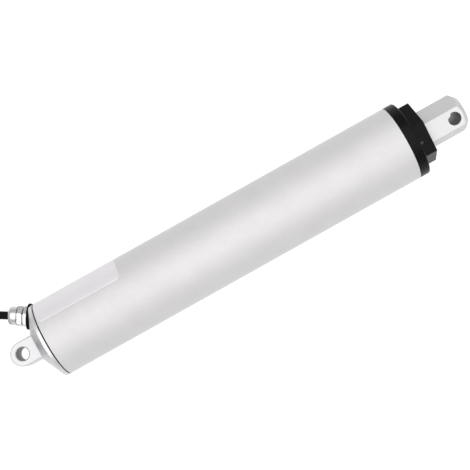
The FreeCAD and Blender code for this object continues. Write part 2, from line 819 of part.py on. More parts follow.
def lead_screw():
    """Trapezoidal lead screw with its bearing seat, shoulder and rear journal."""
    rear = CARRIER_2_X[0] + 0.2
    seat_x1 = BEARING_X0 + 2 * BEARING_W
    shank = [
        (rear, 0),
        (rear, 4.88),
        (BEARING_X0, 4.88),
        (BEARING_X0, BEARING_BORE_R - 0.01),
        (seat_x1, BEARING_BORE_R - 0.01),
        (seat_x1, 8.0),
        (seat_x1 + 4, 8.0),
        (seat_x1 + 4, SCREW_ROOT_R),
    ]
    tip = [(SCREW_X1 - 2, SCREW_ROOT_R), (SCREW_X1 - 2, 3.5), (SCREW_X1, 3.5), (SCREW_X1, 0)]
    return turned(shank + thread_profile() + tip)


def screw_lock_nut():
    """Round slotted nut that clamps the inner races."""
    nut = sleeve(8.4, 4.9, FRONT_PLATE_X1 - 4, BEARING_X0 - 0.02)
    slot = box((0, FRONT_PLATE_X1 - 2.5), (6.8, 9), (-1.2, 1.2))
    return nut.cut(Part.makeCompound(ring_of(slot, 4)))


def screw_end_stop():
    """Stop washer on the screw's front tip."""
    return sleeve(ROD_BORE_R - GAP, 3.52, SCREW_X1 - 1.9, SCREW_X1 + 0.4)


# ---------------------------------------------------------------- rod

def board_way():
    """Slot for the switch board in parts that slide past it."""
    return box((COLLAR_X0 - 1, COLLAR_X1 + 1), (BOARD_Y1 - BOARD_T - 0.5, BORE_R + 3),
               (-BOARD_W / 2 - 0.5, BOARD_W / 2 + 0.5))


def drive_nut():
    """Bronze nut on the lead screw, its spigot fixed in the piston rod."""
    body = cylinder(NUT_FLANGE_R, NUT_X0, NUT_FLANGE_X1)
    body = body.fuse(cylinder(ROD_BORE_R - 0.02, NUT_FLANGE_X1, NUT_X1))
    return body.cut(cylinder(SCREW_R + 0.08, NUT_X0 - 1, NUT_X1 + 1)).removeSplitter()


def guide_collar():
    """Moulded collar that guides the nut in the tube and trips the switches."""
    collar = sleeve(BORE_R - GAP, NUT_FLANGE_R + 0.02, COLLAR_X0, COLLAR_X1)
    collar = collar.fuse(sleeve(NUT_FLANGE_R + 0.02, 8.5, COLLAR_X0, NUT_X0 - 0.02))
    return collar.removeSplitter().cut(board_way())


def piston_rod():
    """Polished hollow rod."""
    return sleeve(ROD_R, ROD_BORE_R, NUT_FLANGE_X1 + 0.02, ROD_END_X0 - 0.02)


def rod_end():
    """Hexagon bar with a turned nose, a cross hole and a threaded spigot in the rod."""
    corner_r = ROD_END_AF / math.sqrt(3)
    nose = ROD_END_X1 - (corner_r - ROD_END_FACE_R)
    turned_down = turned([
        (ROD_END_X0, 0),
        (ROD_END_X0, corner_r - 0.8),
        (ROD_END_X0 + 0.8, corner_r + 0.01),
        (nose, corner_r + 0.01),
        (ROD_END_X1, ROD_END_FACE_R),
        (ROD_END_X1, 0),
    ])
    bar = prism(hexagon(ROD_END_AF, front_angle()), ROD_END_X0, ROD_END_X1)
    along = [e for e in bar.Edges if e.Length > ROD_END_X1 - ROD_END_X0 - 0.01]
    bar = bar.makeFillet(ROD_END_EDGE_R, along).common(turned_down)
    bar = bar.fuse(cylinder(ROD_BORE_R - 0.02, ROD_END_X0 - 18, ROD_END_X0))
    across = about_x(front_angle(), 1.0)
    eye = V(ROD_EYE_X, 0, 0)
    bar = bar.cut(Part.makeCylinder(EYE_HOLE_R, 60, eye - across * 30, across))
    for way in (-1, 1):
        mouth = eye + across * (way * (ROD_END_AF / 2 - ROD_EYE_CHAMFER))
        bar = bar.cut(Part.makeCone(EYE_HOLE_R, EYE_HOLE_R + 1, 1, mouth, across * way))
    return bar.removeSplitter()


# ---------------------------------------------------------------- front end

def front_gland():
    """Black front cover: flange, hexagon boss and a spigot inside the tube."""
    flange = cylinder(TUBE_R, TUBE_X1, FLANGE_X1)
    front_edge = [e for e in circles(flange) if e.CenterOfMass.x > FLANGE_X1 - 0.1]
    flange = flange.makeFillet(FLANGE_EDGE_R, front_edge)
    boss = prism(hexagon(BOSS_AF, front_angle()), FLANGE_X1 - 1, BOSS_X1)
    boss = boss.makeFillet(BOSS_EDGE_R, [e for e in boss.Edges if e.BoundBox.XMax > BOSS_X1 - 0.01])
    spigot = cylinder(BORE_R - FIT, FRONT_SPIGOT_X0, TUBE_X1)
    body = flange.fuse(boss).fuse(spigot).removeSplitter()
    body = body.cut(cylinder(ROD_R + 0.4, FRONT_SPIGOT_X0 - 1, BOSS_X1 + 1))
    body = body.cut(cylinder(BUSH_R, FRONT_SPIGOT_X0 - 1, BUSH_X1))
    for span in (SEAL_X, (WIPER_X[0], BOSS_X1 + 1)):
        body = body.cut(cylinder(SEAL_R, *span))
    body = body.cut(sleeve(BORE_R + 1, 25.0, 322.0, 324.4))
    return body.cut(set_screw_rod(SET_SCREW_R + 0.02, 9.0))


def set_screw_rod(radius, length):
    """Rod on the set screw's axis, square to the boss's upper flat and flush with it."""
    out = about_x(front_angle(), 1.0)
    side = about_x(front_angle() + 90, 1.0)
    top = V(SET_SCREW_X, 0, 0) + out * (BOSS_AF / 2 + 0.001) + side * SET_SCREW_OFFSET
    return Part.makeCylinder(radius, length, top, out * -1)


def front_set_screw():
    """Small set screw in the boss's upper flat."""
    rod = set_screw_rod(SET_SCREW_R, 6.0)
    out = about_x(front_angle(), 1.0)
    rod.translate(out * -0.35)
    socket = set_screw_rod(SET_SCREW_R / 2, 2.0)
    return rod.cut(socket)


def rod_guide_bush():
    """Bronze guide bush of the rod."""
    return sleeve(BUSH_R - 0.02, ROD_R + FIT, FRONT_SPIGOT_X0 + 0.2, BUSH_X1 - 0.02)


def rod_seal():
    """Lip seal of the rod."""
    return sleeve(SEAL_R - 0.02, ROD_R + 0.08, SEAL_X[0] + 0.05, SEAL_X[1] - 0.05)


def rod_wiper():
    """Wiper ring at the boss's mouth."""
    return turned([
        (WIPER_X[0] + 0.05, ROD_R + 0.08),
        (WIPER_X[0] + 0.05, SEAL_R - 0.02),
        (WIPER_X[1] - 0.9, SEAL_R - 0.02),
        (WIPER_X[1], ROD_R + 0.9),
        (WIPER_X[1], ROD_R + 0.08),
    ])


def front_o_ring():
    """O-ring between the front spigot and the tube."""
    return Part.makeTorus(25.98, 0.98, V(323.2, 0, 0), AXIS_X)


# ---------------------------------------------------------------- limit switches

def limit_switch_board():
    """Circuit board strip along the bore."""
    return box(BOARD_X, (BOARD_Y1 - BOARD_T, BOARD_Y1), (-BOARD_W / 2, BOARD_W / 2))


def limit_switches():
    """Two microswitches on the board, one for each end of the stroke."""
    top = BOARD_Y1 - BOARD_T - 0.02
    solids = []
    for span in (REAR_SWITCH_X, FRONT_SWITCH_X):
        solids.append(box(span, (top - SWITCH_H, top), (-SWITCH_W / 2, SWITCH_W / 2)))
    return Part.makeCompound(solids)


BUILDERS = {
    "rear_end_cap": rear_end_cap,
    "rear_gasket": rear_gasket,
    "outer_tube": outer_tube,
    "rating_label": rating_label,
    "gland_washer": gland_washer,
    "gland_body": gland_body,
    "gland_dome_nut": gland_dome_nut,
    "gland_seal": gland_seal,
    "cable_run": lambda: cord_tube("cable", cable_route(), CABLE_R),
    "cable_coil": cable_coil,
    "cable_tail": lambda: cord_tube("tail", tail_route(), CABLE_R),
    "cable_tie": cable_tie,
    "cable_cores": cable_cores,
    "core_ferrules": core_ferrules,
    "inner_wires": inner_wires,
    "motor_can": motor_can,
    "motor_magnets": motor_magnets,
    "motor_end_bell": motor_end_bell,
    "motor_bushes": motor_bushes,
    "motor_brushes": motor_brushes,
    "motor_screws": motor_screws,
    "gearbox_rear_plate": gearbox_rear_plate,
    "ring_gear": ring_gear,
    "gearbox_front_plate": gearbox_front_plate,
    "gearbox_screws": gearbox_screws,
    "bearing_housing": bearing_housing,
    "bearing_outer_races": lambda: races(BEARING_R, BALL_PATH_R + 1.3),
    "bearing_balls": bearing_balls,
    "bearing_circlip": bearing_circlip,
    "limit_switch_board": limit_switch_board,
    "limit_switches": limit_switches,
    "front_gland": front_gland,
    "front_set_screw": front_set_screw,
    "rod_guide_bush": rod_guide_bush,
    "rod_seal": rod_seal,
    "rod_wiper": rod_wiper,
    "front_o_ring": front_o_ring,
    "rod_end": rod_end,
    "piston_rod": piston_rod,
    "drive_nut": drive_nut,
    "guide_collar": guide_collar,
    "lead_screw": lead_screw,
    "bearing_inner_races": lambda: races(BALL_PATH_R - 1.3, BEARING_BORE_R),
    "screw_lock_nut": screw_lock_nut,
    "screw_end_stop": screw_end_stop,
    "carrier_2": carrier_2,
    "carrier_1": carrier_1,
    "sun_gear_2": sun_gear_2,
    "motor_shaft": motor_shaft,
    "motor_laminations": motor_laminations,
    "motor_windings": motor_windings,
    "motor_commutator": motor_commutator,
    "sun_gear_1": sun_gear_1,
}


def main():
    os.makedirs("parts", exist_ok=True)
    for name, build in BUILDERS.items():
        export(name, build())
    for stage, span in (("1", STAGE_1_X), ("2", STAGE_2_X)):
        for index, letter in enumerate("abc"):
            export("planet_" + stage + letter, planet(span, index))


main()
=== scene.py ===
import json
import math

import bmesh
import bpy
from mathutils import Matrix, Vector


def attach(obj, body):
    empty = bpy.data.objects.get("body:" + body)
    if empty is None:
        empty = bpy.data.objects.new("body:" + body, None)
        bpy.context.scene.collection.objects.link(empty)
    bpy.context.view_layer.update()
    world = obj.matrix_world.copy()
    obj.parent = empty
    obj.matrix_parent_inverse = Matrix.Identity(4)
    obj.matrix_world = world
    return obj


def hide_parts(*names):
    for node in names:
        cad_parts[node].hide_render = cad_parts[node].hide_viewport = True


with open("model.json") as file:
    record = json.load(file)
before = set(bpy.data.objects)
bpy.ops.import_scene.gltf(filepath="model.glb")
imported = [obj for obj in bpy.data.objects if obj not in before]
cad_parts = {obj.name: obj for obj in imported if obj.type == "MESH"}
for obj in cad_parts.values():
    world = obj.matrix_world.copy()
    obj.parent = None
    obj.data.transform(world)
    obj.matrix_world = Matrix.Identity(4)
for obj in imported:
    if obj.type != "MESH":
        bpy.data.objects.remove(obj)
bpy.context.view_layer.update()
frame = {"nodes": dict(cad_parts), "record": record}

# Looks of a tubular electric linear actuator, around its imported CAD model. The origin is the middle of the
# rear eye, +X runs along the tube to the rod end, and +Z is up from the floor. Sizes are in metres, apart
# from the cable's and the tie's, which are in millimetres where their comment says so.

nodes = frame["nodes"]
MM = 0.001
TUBE_R = 30 * MM
FLOOR_Z = -TUBE_R

# Camera
LOOK_AT = Vector((0.1841, 0.0009, 0))  # the lights are aimed here too
CAMERA_DISTANCE = 0.88649
CAMERA_LENS = 88.81
CAMERA_NEAR = 0.01
CAMERA_TILT = math.radians(5)  # leans from straight above towards -Y
CAMERA_ROLL = math.radians(29.24)  # turns the picture so that the tube rises to the right

# Cable, the same route as in the CAD
CABLE_D = 6.2 * MM
CABLE_ROUTE = [  # millimetres, from inside the dome to just before the coil
    (4.070, 30.917, 0.0),
    (-5.4, 36.8, 0.0),
    (-16.2, 42.2, -2.0),
    (-26.8, 47.2, -6.2),
    (-37.1, 51.5, -11.7),
    (-47.9, 55.2, -16.5),
    (-59.5, 58.1, -19.4),
    (-71.7, 59.4, -20.0),
]
CORD_STEPS = 10  # points of the curve for each control point
CORD_BEVEL_STEPS = 7

# Coil, in millimetres and degrees
COIL_C = Vector((-73.0, 19.0, 0))
COIL_OUTER_R = 40.3
COIL_INNER_R = 34.1
COIL_HIGH_Z = -20.0
COIL_LOW_Z = -26.2
COIL_MID_R = (COIL_OUTER_R + COIL_INNER_R) / 2
COIL_MID_Z = (COIL_HIGH_Z + COIL_LOW_Z) / 2
COIL_STEP = 15  # between the control points of the turns
COIL_INSET = 0.9914  # the curve's radius over its control points' radius, at that step
COIL_STATIONS = [  # angle, radius, height: the strand moves smoothly from one to the next
    (105, COIL_OUTER_R, COIL_HIGH_Z),
    (370, COIL_OUTER_R, COIL_HIGH_Z),
    (430, COIL_INNER_R, COIL_HIGH_Z),
    (670, COIL_INNER_R, COIL_HIGH_Z),
    (730, COIL_INNER_R, COIL_LOW_Z),
    (970, COIL_INNER_R, COIL_LOW_Z),
    (1030, COIL_OUTER_R, COIL_LOW_Z),
    (1255, COIL_OUTER_R, COIL_LOW_Z),
]
TAIL_ROUTE = [  # angle, radius, height
    (186, 40.3, -26.2),
    (199, 40.5, -26.3),
    (212, 41.2, -26.5),
    (225, 42.3, -26.7),
    (238, 43.6, -26.9),
    (251, 45.0, -26.8),
    (262, 46.4, -26.9),
]

# Cable tie, in millimetres: X across the bundle, Y along the cable, Z up
TIE_ANGLE = 140  # its place on the coil, in degrees
TIE_SLACK = 0.08  # gap between the bundle and the band
TIE_T = 0.6
TIE_W = 3.6
CORNER_STEPS = 6
HEAD_SINK = 0.1  # the head's walls start this far inside the band
HEAD_H = 3.4
HEAD_HALF_Y = 2.8
SLOT_HALF_Y = 2.0
HEAD_WALLS_X = [(-3.0, -1.6), (1.4, 3.0)]  # the walls at the two ends of the slot
HEAD_SLOT_X = (-1.7, 1.5)  # the walls beside the slot lap those at its ends
HEAD_END_BEVEL = 0.35
HEAD_SIDE_BEVEL = 0.25
STRAP_HALF_T = 0.5
STRAP_H = 3.2
STRAP_BEVEL = 0.1
TEETH = 4
TOOTH_X = (0.45, 0.75)
TOOTH_HALF_Y = 1.3
TOOTH_Z = 0.4
TOOTH_PITCH = 0.7
TOOTH_H = 0.35
TOOTH_BEVEL = 0.05

# Materials
PATTERN_RANGE = (0.3, 0.7)  # where most of a noise pattern's values lie
BLOTCH = 60  # colour patches for each metre
SOFT_DETAIL = 3.0
GRAIN_DETAIL = 4.0
TURNING_DETAIL = 2.0
FINE = 0.002 * MM  # depth of the finest grain

# For each slot: two colours, metallic, the range of roughness, and the grain's scale and depth. Options are
# how the grain is stretched, the turning marks for each metre, a clear coat and the specular level.
LOOKS = {
    "anodised_aluminium": {
        "dark": (0.600, 0.591, 0.596), "light": (0.618, 0.609, 0.614), "metallic": 1.0,
        "rough": (0.70, 0.76), "grain_scale": 1400, "depth": FINE, "stretch": (0.12, 1, 1),
    },
    "cast_aluminium": {
        "dark": (0.56, 0.555, 0.563), "light": (0.59, 0.585, 0.593), "metallic": 1.0,
        "rough": (0.36, 0.44), "grain_scale": 1800, "depth": 2 * FINE, "turned": 2600,
    },
    "bright_aluminium": {
        "dark": (0.545, 0.538, 0.542), "light": (0.575, 0.568, 0.572), "metallic": 1.0,
        "rough": (0.52, 0.58), "grain_scale": 1600, "depth": FINE, "stretch": (0.1, 1, 1),
    },
    "plain_aluminium": {
        "dark": (0.68, 0.68, 0.69), "light": (0.74, 0.74, 0.75), "metallic": 1.0, "rough": (0.30, 0.42),
        "grain_scale": 1500, "depth": FINE, "turned": 2200,
    },
    "label_foil": {
        "dark": (0.62, 0.605, 0.62), "light": (0.635, 0.62, 0.635), "metallic": 0.6,
        "rough": (0.42, 0.48), "grain_scale": 2200, "depth": FINE,
    },
    "black_plastic": {
        "dark": (0.0010, 0.0010, 0.0012), "light": (0.0020, 0.0020, 0.0023), "rough": (0.28, 0.36),
        "grain_scale": 2400, "depth": 4 * FINE, "gloss": 0.09,
    },
    "black_rubber": {
        "dark": (0.0012, 0.0012, 0.0012), "light": (0.003, 0.003, 0.003), "rough": (0.5, 0.66),
        "grain_scale": 2000, "depth": 5 * FINE, "gloss": 0.05,
    },
    "nickel_plate": {
        "dark": (0.47, 0.465, 0.46), "light": (0.56, 0.555, 0.55), "metallic": 1.0,
        "rough": (0.07, 0.12), "grain_scale": 900, "depth": FINE,
    },
    "cable_jacket": {
        "dark": (0.0015, 0.0015, 0.0017), "light": (0.003, 0.003, 0.0034), "rough": (0.36, 0.48),
        "grain_scale": 1500, "depth": 6 * FINE, "gloss": 0.08,
    },
    "tie_nylon": {
        "dark": (0.014, 0.014, 0.014), "light": (0.022, 0.022, 0.022), "rough": (0.32, 0.42),
        "grain_scale": 1800, "depth": 4 * FINE,
    },
    "core_insulation": {
        "dark": (0.42, 0.030, 0.024), "light": (0.50, 0.040, 0.032), "rough": (0.28, 0.36),
        "grain_scale": 1800, "depth": 3 * FINE,
    },
    "tinned_copper": {
        "dark": (0.68, 0.67, 0.65), "light": (0.76, 0.75, 0.73), "metallic": 1.0, "rough": (0.26, 0.40),
        "grain_scale": 2600, "depth": 3 * FINE,
    },
    "motor_steel": {
        "dark": (0.50, 0.51, 0.53), "light": (0.60, 0.61, 0.62), "metallic": 1.0, "rough": (0.30, 0.44),
        "grain_scale": 1200, "depth": 2 * FINE,
    },
    "ferrite": {
        "dark": (0.050, 0.050, 0.053), "light": (0.085, 0.085, 0.09), "rough": (0.6, 0.8),
        "grain_scale": 1800, "depth": 10 * FINE,
    },
    "white_plastic": {
        "dark": (0.70, 0.69, 0.65), "light": (0.76, 0.75, 0.71), "rough": (0.36, 0.48),
        "grain_scale": 1600, "depth": 4 * FINE,
    },
    "bronze": {
        "dark": (0.52, 0.34, 0.14), "light": (0.66, 0.46, 0.22), "metallic": 1.0, "rough": (0.28, 0.44),
        "grain_scale": 2000, "depth": 4 * FINE, "turned": 1800,
    },
    "carbon": {
        "dark": (0.02, 0.02, 0.02), "light": (0.05, 0.05, 0.05), "rough": (0.5, 0.7),
        "grain_scale": 3000, "depth": 8 * FINE,
    },
    "zinc_screws": {
        "dark": (0.60, 0.61, 0.64), "light": (0.70, 0.71, 0.73), "metallic": 1.0, "rough": (0.22, 0.36),
        "grain_scale": 1500, "depth": 2 * FINE,
    },
    "gear_steel": {
        "dark": (0.36, 0.365, 0.37), "light": (0.48, 0.485, 0.49), "metallic": 1.0,
        "rough": (0.28, 0.46), "grain_scale": 2400, "depth": 5 * FINE,
    },
    "bearing_steel": {
        "dark": (0.66, 0.67, 0.69), "light": (0.72, 0.73, 0.75), "metallic": 1.0, "rough": (0.10, 0.18),
        "grain_scale": 1500, "depth": FINE, "turned": 3000,
    },
    "rod_steel": {
        "dark": (0.46, 0.465, 0.475), "light": (0.50, 0.505, 0.515), "metallic": 1.0,
        "rough": (0.20, 0.27), "grain_scale": 1500, "depth": FINE, "turned": 4200,
    },
    "screw_steel": {
        "dark": (0.42, 0.43, 0.45), "light": (0.54, 0.55, 0.57), "metallic": 1.0, "rough": (0.24, 0.38),
        "grain_scale": 1500, "depth": 3 * FINE, "turned": 2500,
    },
    "circuit_board": {
        "dark": (0.012, 0.10, 0.03), "light": (0.02, 0.14, 0.045), "rough": (0.22, 0.34),
        "grain_scale": 1200, "depth": 3 * FINE, "coat": 0.4,
    },
    "copper": {
        "dark": (0.62, 0.26, 0.11), "light": (0.74, 0.36, 0.17), "metallic": 1.0, "rough": (0.22, 0.38),
        "grain_scale": 2600, "depth": 6 * FINE,
    },
    "set_screw_steel": {
        "dark": (0.05, 0.05, 0.052), "light": (0.09, 0.09, 0.093), "metallic": 1.0,
        "rough": (0.34, 0.5), "grain_scale": 2200, "depth": 4 * FINE,
    },
}

# Cast cap
AS_CAST = (0.58, 0.575, 0.585)
# painted shade: a darker colour for the lug's flat faces, to tone down the lamps' light on them
PAINTED_LUG_SHADE = (0.47, 0.465, 0.473)
CAP_EXTRA_ROUGH = 0.06
RIM_X = 19.9 * MM
RIM_BLEND = 0.2 * MM
LEVEL_RANGE = (0.8, 0.97)  # size of a face's Z normal, from leaning to level

# Cross holes of the two eyes
EYE_R = 5.05 * MM  # just over the holes' own radius
EYE_BLEND = 0.05 * MM
# painted shade: a darker colour on the walls of the eyes' holes
PAINTED_BORE_SHADE = (0.26, 0.257, 0.26)
DRILLED_EXTRA_ROUGH = 0.1
ROD_EYE_X = 371.4 * MM
FRONT_ROLL = math.radians(20)  # of the rod end's hole about X, from +Z towards -Y

# Gland and cores
GLAND_SEAT = Vector((17.3, 22.65, 0)) * MM
GLAND_ANGLE = math.radians(32)  # from -X towards +Y
GLAND_JOINTS = [5.6 * MM, 10.2 * MM]  # from its seat: the groove behind its nut, the foot of its dome
JOINT_HALF_W = 0.25 * MM
JOINT_BLEND = 0.25 * MM
# painted shade in the gland's groove and at the foot of its dome
JOINT_SHADE = (0.07, 0.069, 0.068)
JOINT_EXTRA_ROUGH = 0.2
CORE_BLACK = (0.006, 0.006, 0.006)

# Floor and lights
FLOOR_HALF = 8.0
FLOOR_GREY = 0.25
FLOOR_GLOW = 0.8  # the floor's own light, which keeps its shadows faint
FLOOR_GRAIN = 300
FLOOR_ROUGH = (0.55, 0.6)
WORLD_LIGHT = 0.86
SOFTBOXES = [  # name, place, size, brightness
    ("fill", (0.18, -0.14, 1.5), (3.0, 3.2), 0.62),
    ("key", (0.18, -0.14, 1.4), (2.0, 2.1), 0.86),
]


# ---------------------------------------------------------------- camera

def make_camera():
    """Camera above the part, leaning towards -Y and rolled."""
    back = Vector((0, -math.sin(CAMERA_TILT), math.cos(CAMERA_TILT)))
    level_up = Vector((0, math.cos(CAMERA_TILT), math.sin(CAMERA_TILT)))
    along = Vector((1, 0, 0))
    right = along * math.cos(CAMERA_ROLL) - level_up * math.sin(CAMERA_ROLL)
    up = along * math.sin(CAMERA_ROLL) + level_up * math.cos(CAMERA_ROLL)
    camera = bpy.data.objects.new("camera", bpy.data.cameras.new("camera"))
    camera.data.lens = CAMERA_LENS
    camera.data.clip_start = CAMERA_NEAR
    camera.matrix_world = Matrix.Translation(LOOK_AT + back * CAMERA_DISTANCE) @ Matrix(
        (right, up, back)).transposed().to_4x4()
    bpy.context.scene.collection.objects.link(camera)
    bpy.context.scene.camera = camera


# ---------------------------------------------------------------- cable

def around_coil(angle, radius, z):
    """Point at an angle and radius about the coil's centre, in millimetres."""
    a = math.radians(angle)
    return COIL_C + Vector((radius * math.cos(a), radius * math.sin(a), z))


def coil_points():
    """Control points of the coil's turns, set a little outside the strand's own line."""
    points = []
    angle = COIL_STATIONS[0][0]
    for (a0, r0, z0), (a1, r1, z1) in zip(COIL_STATIONS, COIL_STATIONS[1:]):
        while angle <= a1:
            share = (angle - a0) / (a1 - a0)
            ease = share * share * (3 - 2 * share)
            points.append(around_coil(angle, (r0 + (r1 - r0) * ease) / COIL_INSET, z0 + (z1 - z0) * ease))
            angle += COIL_STEP
    return points


def smooth_cord(name, points, diameter):
    """Round tube along one open NURBS spline, its points in millimetres, and the line that it follows."""
    curve = bpy.data.curves.new(name + "_line", "CURVE")
    curve.dimensions = "3D"
    curve.resolution_u = CORD_STEPS
    spline = curve.splines.new("NURBS")
    spline.points.add(len(points) - 1)
    for target, point in zip(spline.points, points):
        target.co = (*(Vector(point) * MM), 1)
    spline.order_u = 3
    spline.use_endpoint_u = True
    line = bpy.data.objects.new(name + "_line", curve)
    path = [v.co.copy() for v in bpy.data.meshes.new_from_object(line).vertices]
    curve.bevel_depth = diameter / 2
    curve.bevel_resolution = CORD_BEVEL_STEPS
    curve.use_fill_caps = True
    mesh = bpy.data.meshes.new_from_object(line)
    bpy.data.objects.remove(line)
    piece = bpy.data.objects.new(name, mesh)
    bpy.context.scene.collection.objects.link(piece)
    return piece, path


def make_cable():
    """The cable's jacket: from the gland down to the floor, round the coil, to its cut end."""
    points = [Vector(p) for p in CABLE_ROUTE] + coil_points() + [around_coil(*p) for p in TAIL_ROUTE]
    cable, path = smooth_cord("cable", points, CABLE_D)
    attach(cable, "barrel")
    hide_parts("cable_run", "cable_coil", "cable_tail")
    return cable, path


make_camera()
cable, cable_path = make_cable()


# ---------------------------------------------------------------- cable tie

def rounded_frame(half_w, half_h, radius):
    """Outline of a rounded rectangle about the origin, as points going round it."""
    points = []
    for index, (sx, sy) in enumerate([(1, 1), (-1, 1), (-1, -1), (1, -1)]):
        for part in range(CORNER_STEPS + 1):
            a = math.radians(90 * index + 90 * part / CORNER_STEPS)
            points.append((sx * (half_w - radius) + radius * math.cos(a),
                           sy * (half_h - radius) + radius * math.sin(a)))
    return points


def add_band(bm, inner, outer, half_width):
    """Closed band between two XZ outlines, reaching half_width to each side of them along Y."""
    rings = []
    for outline, y in ((inner, -half_width), (outer, -half_width), (outer, half_width), (inner, half_width)):
        rings.append([bm.verts.new((x, y, z)) for x, z in outline])
    count = len(inner)
    for ring, following in zip(rings, rings[1:] + rings[:1]):
        for i in range(count):
            j = (i + 1) % count
            bm.faces.new((ring[i], ring[j], following[j], following[i]))


def add_block(bm, low, high, bevel):
    """Block between two corners with bevelled edges."""
    low, high = Vector(low), Vector(high)
    place = Matrix.Translation((low + high) / 2) @ Matrix.Diagonal((*(high - low), 1))
    made = bmesh.ops.create_cube(bm, size=1, matrix=place)["verts"]
    edges = {edge for vert in made for edge in vert.link_edges}
    bmesh.ops.bevel(bm, geom=list(edges), offset=bevel, segments=2, affect="EDGES")


def finish_mesh(name, bm):
    """Object from a bmesh, its faces turned outwards."""
    bmesh.ops.recalc_face_normals(bm, faces=bm.faces)
    mesh = bpy.data.meshes.new(name)
    bm.to_mesh(mesh)
    bm.free()
    piece = bpy.data.objects.new(name, mesh)
    bpy.context.scene.collection.objects.link(piece)
    return piece


def add_head(bm, top):
    """The tie's head: four walls round the slot that its strap goes through."""
    foot, crown = top - HEAD_SINK, top + HEAD_H
    for x0, x1 in HEAD_WALLS_X:
        add_block(bm, (x0, -HEAD_HALF_Y, foot), (x1, HEAD_HALF_Y, crown), HEAD_END_BEVEL)
    x0, x1 = HEAD_SLOT_X
    for y0, y1 in ((-HEAD_HALF_Y, -SLOT_HALF_Y), (SLOT_HALF_Y, HEAD_HALF_Y)):
        add_block(bm, (x0, y0, foot), (x1, y1, crown), HEAD_SIDE_BEVEL)


def add_strap(bm, top):
    """The strap's cut end, standing in the slot, with teeth on one side."""
    add_block(bm, (-STRAP_HALF_T, -TIE_W / 2, top), (STRAP_HALF_T, TIE_W / 2, top + STRAP_H), STRAP_BEVEL)
    for tooth in range(TEETH):
        z = top + TOOTH_Z + TOOTH_PITCH * tooth
        add_block(bm, (TOOTH_X[0], -TOOTH_HALF_Y, z), (TOOTH_X[1], TOOTH_HALF_Y, z + TOOTH_H), TOOTH_BEVEL)


def make_tie():
    """Nylon cable tie round the coil: a rounded band, its head and its toothed strap."""
    radius = CABLE_D / MM / 2
    half = 2 * radius + TIE_SLACK
    top = half + TIE_T
    bm = bmesh.new()
    add_band(bm, rounded_frame(half, half, radius), rounded_frame(top, top, radius + TIE_T), TIE_W / 2)
    add_head(bm, top)
    add_strap(bm, top)
    tie = finish_mesh("tie", bm)
    place = around_coil(TIE_ANGLE, COIL_MID_R, COIL_MID_Z)
    turn = Matrix.Rotation(math.radians(TIE_ANGLE), 4, "Z")
    tie.data.transform(Matrix.Scale(MM, 4) @ Matrix.Translation(place) @ turn)
    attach(tie, "barrel")
    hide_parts("cable_tie")
    return tie


tie = make_tie()


# ---------------------------------------------------------------- materials

def new_material(name):
    """Empty material with its node tree and its surface shader."""
    material = bpy.data.materials.new(name)
    material.use_nodes = True
    tree = material.node_tree
    return material, tree, tree.nodes["Principled BSDF"]


def part_coordinates(tree, stretch):
    """The part's own coordinates in metres, scaled along each axis."""
    place = tree.nodes.new("ShaderNodeTexCoord")
    mapping = tree.nodes.new("ShaderNodeMapping")
    mapping.inputs["Scale"].default_value = stretch
    tree.links.new(place.outputs["Object"], mapping.inputs["Vector"])
    return mapping.outputs["Vector"]


def turned_coordinates(tree):
    """Coordinates (x, distance from the tube's axis), so that a pattern runs round a turned part."""
    place = tree.nodes.new("ShaderNodeTexCoord")
    apart = tree.nodes.new("ShaderNodeSeparateXYZ")
    across = tree.nodes.new("ShaderNodeCombineXYZ")
    reach = tree.nodes.new("ShaderNodeVectorMath")
    reach.operation = "LENGTH"
    both = tree.nodes.new("ShaderNodeCombineXYZ")
    tree.links.new(place.outputs["Object"], apart.inputs["Vector"])
    tree.links.new(apart.outputs["Y"], across.inputs["Y"])
    tree.links.new(apart.outputs["Z"], across.inputs["Z"])
    tree.links.new(across.outputs["Vector"], reach.inputs[0])
    tree.links.new(apart.outputs["X"], both.inputs["X"])
    tree.links.new(reach.outputs["Value"], both.inputs["Y"])
    return both.outputs["Vector"]


def noise(tree, vector, scale, detail=SOFT_DETAIL):
    """Noise from 0 to 1, in cells of 1 / scale metres."""
    texture = tree.nodes.new("ShaderNodeTexNoise")
    texture.inputs["Scale"].default_value = scale
    texture.inputs["Detail"].default_value = detail
    tree.links.new(vector, texture.inputs["Vector"])
    return texture.outputs["Fac"]


def ranged(tree, pattern, low, high):
    """A pattern's usual range mapped to low and high."""
    node = tree.nodes.new("ShaderNodeMapRange")
    node.inputs["From Min"].default_value = PATTERN_RANGE[0]
    node.inputs["From Max"].default_value = PATTERN_RANGE[1]
    node.inputs["To Min"].default_value = low
    node.inputs["To Max"].default_value = high
    tree.links.new(pattern, node.inputs["Value"])
    return node.outputs["Result"]


def tinted(tree, pattern, dark, light):
    """A colour between two, by a pattern."""
    ramp = tree.nodes.new("ShaderNodeValToRGB")
    for element, position, colour in zip(ramp.color_ramp.elements, PATTERN_RANGE, (dark, light)):
        element.position = position
        element.color = (*colour, 1)
    tree.links.new(pattern, ramp.inputs["Fac"])
    return ramp.outputs["Color"]


def relief(tree, pattern, depth, under=None):
    """Bumps of a depth in metres, on top of other bumps."""
    bump = tree.nodes.new("ShaderNodeBump")
    bump.inputs["Strength"].default_value = 1.0
    bump.inputs["Distance"].default_value = depth
    tree.links.new(pattern, bump.inputs["Height"])
    if under is not None:
        tree.links.new(under, bump.inputs["Normal"])
    return bump.outputs["Normal"]


def math_node(tree, operation, first, second=None):
    """Result of a sum on one or two sockets or numbers."""
    node = tree.nodes.new("ShaderNodeMath")
    node.operation = operation
    for socket, value in zip(node.inputs, (first, second)):
        if isinstance(value, bpy.types.NodeSocket):
            tree.links.new(value, socket)
        elif value is not None:
            socket.default_value = value
    return node.outputs["Value"]


def step(tree, value, low, high):
    """0 below low and 1 above high."""
    node = tree.nodes.new("ShaderNodeMapRange")
    node.inputs["From Min"].default_value = low
    node.inputs["From Max"].default_value = high
    tree.links.new(value, node.inputs["Value"])
    return node.outputs["Result"]


